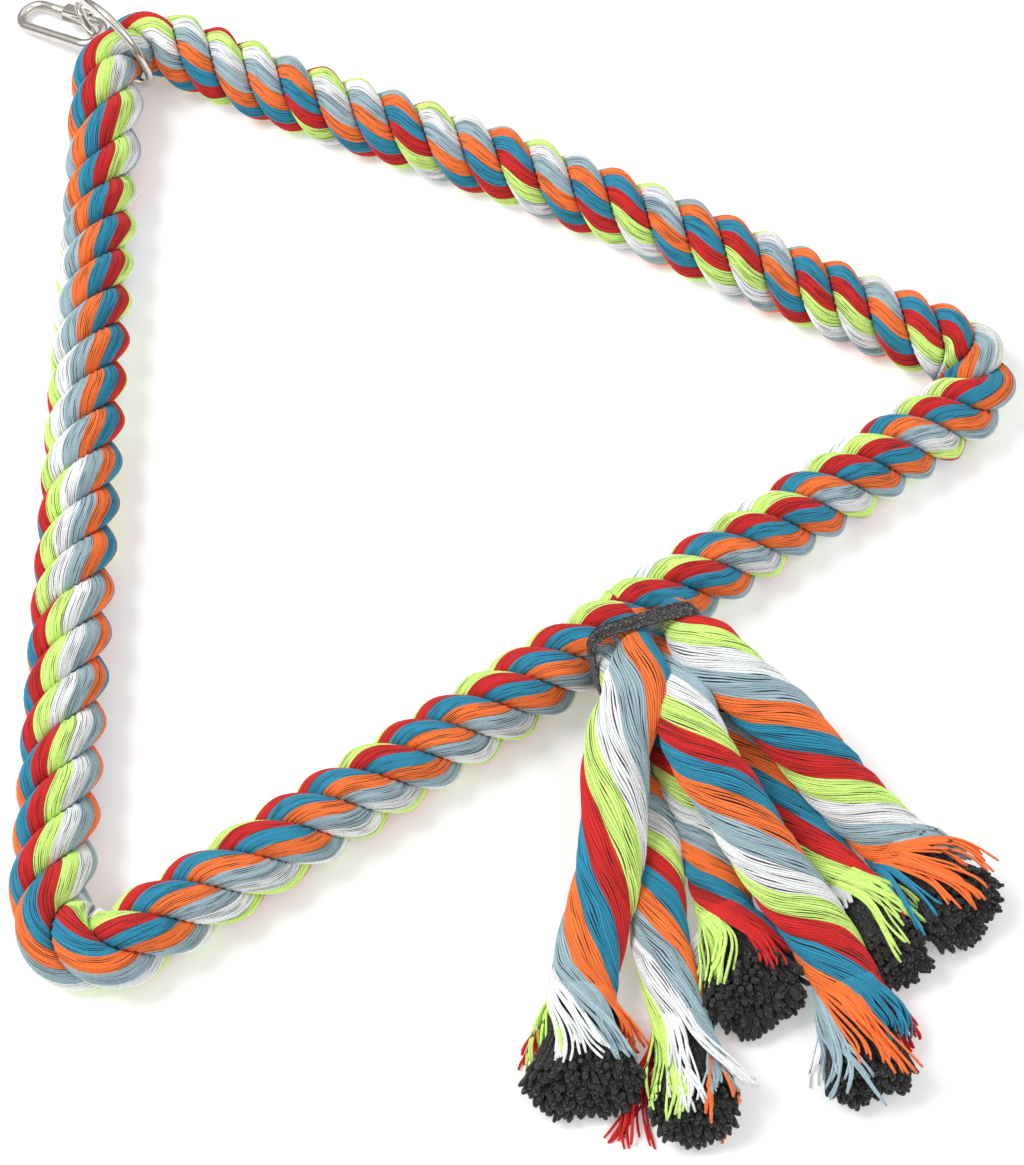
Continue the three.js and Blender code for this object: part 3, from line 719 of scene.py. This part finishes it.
def charcoal(name, speck, relief, buried_shade):
    finish = Finish(name, roughness=0.92, sheen_weight=0.2, sheen_roughness=0.6)
    point = finish.place()
    across, along = finish.weave()
    grain = finish.noise(point, CHARCOAL_GRAIN, 4.0)
    fibre = finish.noise(point, CHARCOAL_FIBRE, 3.0)
    pale = grain.ramp(speck, speck + PALE_FADE)
    tone = fibre.ramp(*FIBRE_RANGE) * FIBRE_TONE + across * ACROSS_TONE
    # Painted shade: darker short of the tip, where a yarn lies among the others in the brush
    tone = tone * (1 - buried_shade * (1 - along.ramp(*TIP_RANGE)))
    grey = finish.join(tone, tone, tone)
    base = finish.mix(1.0, (*CHARCOAL, 1), grey, "MULTIPLY")
    finish.feed("Base Color", finish.mix(pale * PALE_SHARE, base, (*PALE_FIBRE, 1)))
    finish.feed("Roughness", YARN_ROUGHNESS + grain * YARN_ROUGHNESS_STRAY)
    finish.bump(grain + fibre * 0.8, 1.0, relief)
    return finish.material


DARK_YARN = charcoal("charcoal_yarn", speck=0.6, relief=0.0012, buried_shade=0.55)
WHIP_YARN = charcoal("charcoal_whipping", speck=0.54, relief=0.0004, buried_shade=0.0)
TAIL_GAPS = {"shut": 0.6, "gape": 0.66}
TAIL_MAP_LENGTH = 120.0
tail_finishes = {
    False: cotton("tail_cotton", PALETTE, TAIL_YARNS, TAIL_MAP_LENGTH, seed=3.0, **TAIL_GAPS),
    True: cotton("tail_cotton_turned", PALETTE[::-1], TAIL_YARNS, TAIL_MAP_LENGTH, seed=11.0, **TAIL_GAPS),
}
for tail_number, one_tail in enumerate(TAILS, 1):
    add_tail(tail_number, one_tail, tail_finishes)


# Axis of the laid rope, from the neck round the right corner, the apex and the left corner. The apex is
# lifted to let the ring's wire pass under it, and the ring pinches it.
BASE_LENGTH = 452
LEFT_LEG = 435
RIGHT_LEG = 417
RIGHT_LEG_BOW = 6
BEND_RADIUS = 18
ROPE_RADIUS = 15.5
AXIS_HEIGHT = 12.4
ROPE_START_X = 30
LAYS = (47, 49.6, 57.7, 54)
WHOLE_TURNS = 70 / 3
APEX_LIFT_SPREAD = 95
APEX_PINCH = 2.6
APEX_PINCH_SPREAD = 30
RING_WIRE = 3.8
RING_CLEARANCE = 0.3
PROBE = 0.5
ROUNDING = 1e-9


class RopeAxis:
    def __init__(self):
        apex_x = (LEFT_LEG**2 - RIGHT_LEG**2) / (2 * BASE_LENGTH)
        apex_y = math.sqrt(LEFT_LEG**2 - (BASE_LENGTH / 2 + apex_x) ** 2)
        neck = Vector((ROPE_START_X, 0))
        right = Vector((BASE_LENGTH / 2, 0))
        left = Vector((-BASE_LENGTH / 2, 0))
        corners = [neck, right, Vector((apex_x, apex_y)), left, neck]
        self.stretches = []
        start = turns = trim = 0
        for i in range(4):
            along = (corners[i + 1] - corners[i]).normalized()
            ahead = (corners[i + 2] - corners[i + 1]).normalized() if i < 3 else along
            angle = math.acos(min(along.dot(ahead), 1))
            cut = BEND_RADIUS * math.tan(angle / 2)
            length = (corners[i + 1] - corners[i]).length - trim - cut
            origin = corners[i] + along * trim
            bow = RIGHT_LEG_BOW if i == 1 else 0
            stretch = {"start": start, "length": length, "turns": turns, "lay": LAYS[i]}
            self.stretches.append({**stretch, "origin": origin, "along": along, "bow": bow})
            start += length
            turns += length / LAYS[i]
            if i < 3:
                lay = (LAYS[i] + LAYS[i + 1]) / 2
                arc = BEND_RADIUS * angle
                inward = Vector((-along.y, along.x))
                centre = origin + along * length + inward * BEND_RADIUS
                facing = math.atan2(-inward.y, -inward.x)
                stretch = {"start": start, "length": arc, "turns": turns, "lay": lay}
                self.stretches.append({**stretch, "centre": centre, "facing": facing})
                start += arc
                turns += arc / lay
            trim = cut
        self.length = start
        self.turns = turns
        apex = self.stretches[3]
        self.apex = apex["start"] + apex["length"] / 2
        self.lift = RING_WIRE + RING_CLEARANCE + self.radius(self.apex) - AXIS_HEIGHT

    def radius(self, s):
        return ROPE_RADIUS - APEX_PINCH * hump(s - self.apex, APEX_PINCH_SPREAD)

    def point(self, s):
        ahead = [one for one in self.stretches if s <= one["start"] + one["length"]]
        stretch = ahead[0] if ahead else self.stretches[-1]
        travelled = s - stretch["start"]
        if "centre" in stretch:
            angle = stretch["facing"] + travelled / BEND_RADIUS
            flat = stretch["centre"] + Vector((math.cos(angle), math.sin(angle))) * BEND_RADIUS
        else:
            bow = stretch["bow"] * hump(travelled - stretch["length"] / 2, stretch["length"] / 2)
            along = stretch["along"]
            flat = stretch["origin"] + along * travelled + Vector((along.y, -along.x)) * bow
        return Vector((flat.x, flat.y, AXIS_HEIGHT + self.lift * hump(s - self.apex, APEX_LIFT_SPREAD)))

    def frame(self, s):
        forward = self.point(min(s + PROBE, self.length)) - self.point(max(s - PROBE, 0))
        forward.normalize()
        side = UP.cross(forward).normalized()
        return self.point(s), side, forward.cross(side)

    def at_turn(self, turn):
        wanted = turn * self.turns / WHOLE_TURNS
        stretch = [one for one in self.stretches if one["turns"] <= wanted + ROUNDING][-1]
        return min(stretch["start"] + (wanted - stretch["turns"]) * stretch["lay"], self.length)


AXIS = RopeAxis()

# Unevenness of the hand-laid rope, at distances along it: turns that the lay runs ahead, and where the
# palette starts round each of the three strands
LAY_AHEAD = [
    (0, 0), (50, -0.085), (80, -0.075), (120, -0.035), (200, 0.035), (290, 0.125), (360, 0.05), (440, 0.02),
    (520, 0.025), (580, 0.045), (640, -0.125), (720, -0.06), (840, -0.02), (960, 0.06), (1000, -0.015),
    (1080, -0.16), (1160, -0.075), (1230, 0),
]
PALETTE_STARTS = [
    [(0, 0.14), (120, 0.14), (200, 0.17), (300, 0.17), (400, 0.26), (520, 0.48), (600, 0.92), (680, 1.36),
     (800, 1.61), (960, 1.93), (1040, 2.24), (1160, 2.16), (1230, 2.12)],
    [(0, 0.35), (120, 0.43), (200, 0.55), (300, 0.6), (400, 0.72), (520, 0.8), (600, 0.97), (680, 1.28),
     (800, 1.65), (960, 2.05), (1040, 2.42), (1160, 2.36), (1230, 2.26)],
    [(0, 0.04), (120, 0.06), (200, 0.18), (300, 0.31), (400, 0.54), (520, 0.7), (600, 1.1), (680, 1.38),
     (800, 1.74), (960, 2.08), (1040, 2.4), (1160, 2.32), (1230, 2.22)],
]


# Section of a strand: a round crown, two sides against its neighbours and a short inner face. Its share
# round runs faster over the hidden sides, where the yarns are squeezed together. Gaps keep the strands apart.
STRAND_SPREAD = 0.4
SQUEEZE = 0.36
HOLLOW = 5.0
SIXTH = TURN / 6
CROWN_GAP = 0.15
CROWN_GAP_RUN = 0.25
SIDE_GAP_X, SIDE_GAP_Y = 0.13, 0.075


def strand_section(radius, share):
    offset = STRAND_SPREAD * radius
    crown = radius - offset
    valley = offset * 0.5 + math.sqrt(crown**2 - (offset * math.sin(SIXTH)) ** 2)
    edge = math.atan2(valley * math.sin(SIXTH), valley * 0.5 - offset)
    lengths = (crown * edge, (valley - HOLLOW) * SQUEEZE, HOLLOW * math.sin(SIXTH) * SQUEEZE)
    way = (share % 1 - 0.5) * 2
    reach = abs(way) * sum(lengths)
    sign = 1 if way > 0 else -1
    out_x = out_y = 0
    if reach <= lengths[0]:
        angle = reach / crown
        out_x, out_y = math.cos(angle), math.sin(angle)
        x = offset + crown * out_x
        y = crown * out_y - CROWN_GAP * smooth(angle, edge - CROWN_GAP_RUN, edge)
    elif reach <= lengths[0] + lengths[1]:
        distance = valley - (reach - lengths[0]) / SQUEEZE
        x = distance * 0.5 + SIDE_GAP_X
        y = distance * math.sin(SIXTH) - SIDE_GAP_Y
    else:
        x = HOLLOW * 0.5 + SIDE_GAP_X
        y = (sum(lengths) - reach) / SQUEEZE
    return x, y * sign, out_x, out_y * sign


# Yarns of a strand: the relief of a yarn against its seams, and slow ripples along it with their beats a turn
ROPE_YARNS = 54
ROWS_PER_TURN = 27
ROPE_RELIEF = 0.14
RIPPLE = 0.09
RIPPLE_BEATS = (5.3, 2.1)
END_MARGIN = 0.1
STRAND_FLOOR = 0.3
STRAND_SEED = 100
STRAND_LETTERS = "abc"
STRAND_SLOTS = ("cotton_red", "cotton_blue", "cotton_green")


def add_strand(index, material):
    chance = random.Random(STRAND_SEED + index)
    rows = round(WHOLE_TURNS * ROWS_PER_TURN)
    phases = [[chance.uniform(0, TURN), chance.uniform(0, TURN)] for _ in range(ROPE_YARNS)]
    stations = []
    for row in range(rows + 1):
        s = min(max(AXIS.at_turn(row / ROWS_PER_TURN), END_MARGIN), AXIS.length - END_MARGIN)
        turn = row / ROWS_PER_TURN + along_knots(LAY_AHEAD, s)
        centre, side, upright = AXIS.frame(s)
        crest = TURN * (turn + index / 3)
        start = along_knots(PALETTE_STARTS[index], s)
        stations.append((turn, centre, side, upright, crest, AXIS.radius(s), start))

    def place(row, share):
        turn, centre, side, upright, crest, radius, start = stations[row]
        x, y, out_x, out_y = strand_section(radius, share - 2 * turn - 2 * index / 3 - start)
        column = round(share * ROPE_YARNS * 2)
        first, second = phases[(column // 2) % ROPE_YARNS]
        ripple = RIPPLE * math.sin(turn * RIPPLE_BEATS[0] + first) * math.sin(turn * RIPPLE_BEATS[1] + second)
        proud = (ROPE_RELIEF if column % 2 else -ROPE_RELIEF) + ripple
        x += out_x * proud
        y += out_y * proud
        radial = x * math.cos(crest) - y * math.sin(crest)
        rising = x * math.sin(crest) + y * math.cos(crest)
        point = centre + side * radial + upright * rising
        point.z = max(point.z, STRAND_FLOOR)
        return point * MM + SHIFT

    bm = bmesh.new()
    roll(bm, ROPE_YARNS * 2, rows, place)
    letter = STRAND_LETTERS[index]
    finish_piece(f"laid_strand_{letter}", bm, material, STRAND_SLOTS[index], "rope", f"rope_strand_{letter}")


ROPE_GAPS = {"shut": 0.45, "gape": 0.675}
ROPE_MAP_LENGTH = 1229.0
for strand in range(3):
    strand_name = f"strand_cotton_{STRAND_LETTERS[strand]}"
    strand_seed = 20.0 + 7 * strand
    add_strand(strand, cotton(strand_name, PALETTE, ROPE_YARNS, ROPE_MAP_LENGTH, strand_seed, **ROPE_GAPS))


# Nickel plate, with fine draw marks and soft smudges
NICKEL_LIGHT = colour(224, 220, 212)
NICKEL_DARK = colour(198, 194, 187)
SMUDGE_SCALE, MARK_SCALE = 0.12, 1.4
SMUDGE_ROUGHNESS, MARK_ROUGHNESS = 0.1, 0.04
MARK_BUMP = 0.05
MARK_RELIEF = 0.0002


def nickel(name, roughness):
    finish = Finish(name, metallic=1.0)
    point = finish.place()
    smudge = finish.noise(point, SMUDGE_SCALE, 3.0)
    marks = finish.noise(point, MARK_SCALE, 2.0)
    finish.feed("Base Color", finish.mix(smudge, (*NICKEL_LIGHT, 1), (*NICKEL_DARK, 1)))
    finish.feed("Roughness", roughness + smudge * SMUDGE_ROUGHNESS + marks * MARK_ROUGHNESS)
    finish.bump(marks, MARK_BUMP, MARK_RELIEF)
    return finish.material


NICKEL = nickel("nickel_plate", 0.08)
WIRE_STEEL = nickel("drawn_wire", 0.3)


def dress(node, material):
    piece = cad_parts[node]
    piece.data.materials.clear()
    piece.data.materials.append(material)


# Ring, spun from its wire's section, leaning and turned a little
RING_CENTRE = Vector((9.04, 245.34, 23.59))
RING_MIDDLE = 21.85
RING_LEAN = math.radians(7)
RING_TURN = math.radians(10)
RING_OUT = Vector((-math.sin(RING_TURN), math.cos(RING_TURN), 0))
RING_FLAT = Vector((math.cos(RING_TURN), math.sin(RING_TURN), 0))
RING_AXIS = RING_FLAT * math.cos(RING_LEAN) + UP * math.sin(RING_LEAN)
RING_UP = RING_AXIS.cross(RING_OUT)
RING_STEPS = 128
ROD_SIDES = 20
RING_WELD = 1e-6


def add_ring():
    bm = bmesh.new()
    bm.loops.layers.uv.new("UVMap")
    facing = Matrix((RING_AXIS, RING_OUT, RING_UP)).transposed().to_4x4()
    spot = Matrix.Translation((RING_CENTRE + RING_OUT * RING_MIDDLE) * MM) @ facing
    section = bmesh.ops.create_circle(bm, segments=ROD_SIDES, radius=RING_WIRE / 2 * MM, matrix=spot)["verts"]
    bmesh.ops.spin(
        bm,
        geom=section + list(bm.edges),
        cent=RING_CENTRE * MM,
        axis=RING_AXIS,
        dvec=(0, 0, 0),
        angle=TURN,
        steps=RING_STEPS,
        use_merge=True,
    )
    bmesh.ops.remove_doubles(bm, verts=bm.verts, dist=RING_WELD)
    bmesh.ops.recalc_face_normals(bm, faces=bm.faces)
    finish_piece("hanging_ring", bm, NICKEL, "nickel", "ring", "ring")


# Screw link, in its own plane: x along it from its middle to its free end, and y across it
LINK_MIDDLE = Vector((0.28, 279.41, 7.86))
LINK_ALONG = Vector((-0.39532, 0.88791, -0.23522))
LINK_ACROSS = Vector((0.91355, 0.40674, 0))
LINK_NORMAL = LINK_ACROSS.cross(LINK_ALONG)
LINK_ROD = 4.7
LINK_BOW = 6.9
LINK_RUN = 30.5
LINK_GAP = (-7.5, -0.5)
THREADS = ((-11.5, -7.5), (-0.5, 9.5))
THREAD_PITCH = 0.8
THREAD_DEPTH = 0.3
THREAD_RUN_OUT = 0.6
END_CHAMFER = 0.86
BOW_STEPS = 24
STUB_STEPS, BACK_STEPS, END_STEPS = 80, 8, 40


def link_place(x, y, out_x, out_y, angle, radius):
    spot = LINK_MIDDLE + LINK_ALONG * x + LINK_ACROSS * y
    out = LINK_ALONG * out_x + LINK_ACROSS * out_y
    return (spot + (out * math.cos(angle) + LINK_NORMAL * math.sin(angle)) * radius) * MM


def add_link():
    half = LINK_RUN / 2
    stations = []

    def straight(first, last, y, sign, steps):
        for i in range(steps + 1):
            stations.append((first + (last - first) * i / steps, y, 0, sign))

    def bow(sign):
        for i in range(1, BOW_STEPS):
            angle = math.pi * (i / BOW_STEPS - 0.5) * sign
            out_x, out_y = math.cos(angle) * sign, -math.sin(angle)
            stations.append((half * sign + LINK_BOW * out_x, LINK_BOW * out_y, out_x, out_y))

    straight(LINK_GAP[1], half, LINK_BOW, 1, STUB_STEPS)
    bow(1)
    straight(half, -half, -LINK_BOW, -1, BACK_STEPS)
    bow(-1)
    straight(-half, LINK_GAP[0], LINK_BOW, 1, END_STEPS)
    last = len(stations) - 1

    def place(row, share):
        x, y, out_x, out_y = stations[row]
        radius = LINK_ROD / 2
        angle = TURN * share
        if y == LINK_BOW:
            for low, high in THREADS:
                cut = min(smooth(x, low, low + THREAD_RUN_OUT), 1 - smooth(x, high - THREAD_RUN_OUT, high))
                groove = 0.5 - 0.5 * math.cos(TURN * x / THREAD_PITCH - angle)
                radius -= THREAD_DEPTH * cut * groove
        if row in (0, last):
            radius *= END_CHAMFER
        return link_place(x, y, out_x, out_y, angle, radius)

    bm = bmesh.new()
    roll(bm, ROD_SIDES, last, place)
    bmesh.ops.recalc_face_normals(bm, faces=bm.faces)
    finish_piece("screw_link", bm, NICKEL, "nickel", "link", "quick_link")


# Sleeve nut: a hexagon with turned chamfers and a bore, rolled from its bore over its outside. Half its
# profile runs from the outside to the bore, as shares of its half length and radii.
NUT_MIDDLE = -4
NUT_HALF = 6.5
NUT_FLAT = 4
NUT_CORNER = 4.52
NUT_BORE = 2.65
NUT_PROFILE = [(0.91, 4.62), (0.985, 3.95), (1, 3.75), (1, NUT_BORE)]
NUT_SIDES = 60
NUT_CREASE = 0.3


def add_nut():
    profile = [(-along, radius) for along, radius in reversed(NUT_PROFILE)]
    profile += NUT_PROFILE
    profile.append(profile[0])

    def place(row, share):
        along, radius = profile[row]
        corner = share * 6 % 1 - 0.5
        flat = NUT_FLAT / math.cos(corner * TURN / 6)
        radius = min(radius, flat, NUT_CORNER)
        return link_place(NUT_MIDDLE + along * NUT_HALF, LINK_BOW, 0, 1, TURN * share, radius)

    bm = bmesh.new()
    roll(bm, NUT_SIDES, len(profile) - 1, place, closed_ends=False)
    bmesh.ops.recalc_face_normals(bm, faces=bm.faces)
    for edge in bm.edges:
        edge.smooth = edge.calc_face_angle() < NUT_CREASE
    finish_piece("sleeve_nut", bm, NICKEL, "nickel", "nut", "link_nut")


add_ring()
add_link()
add_nut()
dress("core_wire", WIRE_STEEL)


# Whipping: one dark thread wound close round the neck, whose loops swell and drift a little by these beats
WHIP_THREAD = 1.0
WHIP_LOOPS = 11
WHIP_BAND = 10
WHIP_START = -1.2
WHIP_GAP = 0.35
WHIP_STEPS = 56
WHIP_SIDES = 6
WHIP_SEED = 7
WHIP_GROW, WHIP_SWELL, WHIP_DRIFT = 0.55, 0.35, 0.5
SWELL_BEATS = (2.6, 9.1)
DRIFT_BEAT = 7.3


def add_whipping():
    corner = ROOT_RADIUS + WHIP_GAP
    half_width = ROOT_SPACING
    half_height = ROOT_SPACING / 2
    bend = corner * math.pi / 2
    total = 2 * (2 * half_height + bend + 2 * half_width + bend)

    def outline(share, grow):
        travelled = share % 1 * total
        signs = [(1, 1), (-1, 1), (-1, -1), (1, -1)]
        for quarter, (sign_x, sign_y) in enumerate(signs):
            run = 2 * half_height if quarter % 2 else 2 * half_width
            turned = min(travelled, bend)
            angle = quarter * math.pi / 2 + turned / corner
            passed = max(travelled - bend, 0)
            if passed <= run:
                x = sign_x * half_width + (corner + grow) * math.cos(angle)
                y = sign_y * half_height + (corner + grow) * math.sin(angle)
                return x - math.sin(angle) * passed, y + math.cos(angle) * passed
            travelled -= bend + run
        return half_width + corner + grow, half_height

    steps = WHIP_STEPS * WHIP_LOOPS
    chance = random.Random(WHIP_SEED)
    phases = [chance.uniform(0, TURN) for _ in range(3)]
    points = []
    for i in range(steps + 1):
        loop = i / WHIP_STEPS
        swell = WHIP_SWELL
        for beat, phase in zip(SWELL_BEATS, phases):
            swell *= math.sin(loop * beat + phase)
        x, y = outline(loop, WHIP_THREAD * (WHIP_GROW + swell))
        along = WHIP_START + WHIP_BAND * i / steps + WHIP_DRIFT * math.sin(loop * DRIFT_BEAT + phases[2])
        place = NECK_CENTRE + NECK_ACROSS * x + NECK_UP * y + NECK_ALONG * along
        points.append(place * MM + SHIFT)
    bm = bmesh.new()
    bm.loops.layers.uv.new("UVMap")
    add_yarn(bm, points, [WHIP_THREAD * 0.5 * MM] * len(points), 0.5, WHIP_SIDES)
    close_yarns(bm)
    finish_piece("neck_whipping", bm, WHIP_YARN, "cotton_dark", "tassel", "whipping")


add_whipping()


# Plain white floor that keeps a soft shadow, and soft studio light from the upper left. The floor's glow
# grows away from the part, and the metal mirrors a room that is darker near the floor.
FLOOR_SIZE = 6.0
FLOOR_TONE = 0.86
FLOOR_GLOW, FLOOR_GLOW_GROWTH = 0.255, 0.345
FLOOR_GLOW_RUN = (0.5, 1.8)
SKY_STRENGTH = 1.2
SKY_LIT = 0.48
SKY_SEEN = 0.833
ROOM_LEVELS = [(0, 0.04), (0.08, 0.1), (0.16, 0.36), (0.5, 0.4), (0.62, 0.9), (1, 0.9)]


def even_grey(level):
    return (level, level, level, 1)


def add_stage():
    bm = bmesh.new()
    bmesh.ops.create_grid(bm, x_segments=1, y_segments=1, size=FLOOR_SIZE)
    mesh = bpy.data.meshes.new("floor")
    bm.to_mesh(mesh)
    bm.free()
    finish = Finish("floor_white", roughness=1.0, base_color=even_grey(FLOOR_TONE), emission_strength=1.0)
    point = finish.node("ShaderNodeTexCoord", output="Object")
    reach = finish.node("ShaderNodeVectorMath", {"operation": "LENGTH"}, {0: point}, "Value")
    glow = FLOOR_GLOW + reach.ramp(*FLOOR_GLOW_RUN) * FLOOR_GLOW_GROWTH
    finish.feed("Emission Color", finish.join(glow, glow, glow))
    mesh.materials.append(finish.material)
    floor = bpy.data.objects.new("floor", mesh)
    scene.collection.objects.link(floor)

    world = bpy.data.worlds.new("studio")
    world.use_nodes = True
    scene.world = world
    sky = NodeTree(world.node_tree)
    background = sky.tree.nodes["Background"]
    background.inputs["Strength"].default_value = SKY_STRENGTH
    direction = sky.node("ShaderNodeTexCoord")
    parts = sky.node("ShaderNodeSeparateXYZ", sockets={0: direction})
    height = Value(sky, parts.socket.node.outputs["Z"])
    shades = [(place, (level,) * 3) for place, level in ROOM_LEVELS]
    room = sky.node("ShaderNodeValToRGB", {"stops": shades}, {0: height})
    seen = sky.node("ShaderNodeLightPath")
    glossy = Value(sky, seen.socket.node.outputs["Is Glossy Ray"])
    lit = sky.mix(glossy, even_grey(SKY_LIT), room)
    sky.link(sky.mix(seen, lit, even_grey(SKY_SEEN)), background.inputs["Color"])

    def add_light(name, place, aim, size, power):
        data = bpy.data.lights.new(name, "AREA")
        data.shape = "DISK"
        data.size = size
        data.energy = power
        light = bpy.data.objects.new(name, data)
        light.location = place
        light.rotation_euler = (Vector(aim) - Vector(place)).to_track_quat("-Z", "Y").to_euler()
        scene.collection.objects.link(light)

    add_light("key", place=(-0.9, 0.9, 1.7), aim=(0, 0, 0), size=1.0, power=28)
    add_light("fill", place=(0.6, -1.3, 1.8), aim=(0, -0.05, 0), size=1.6, power=10)


add_stage()
scene.view_settings.view_transform = "Standard"
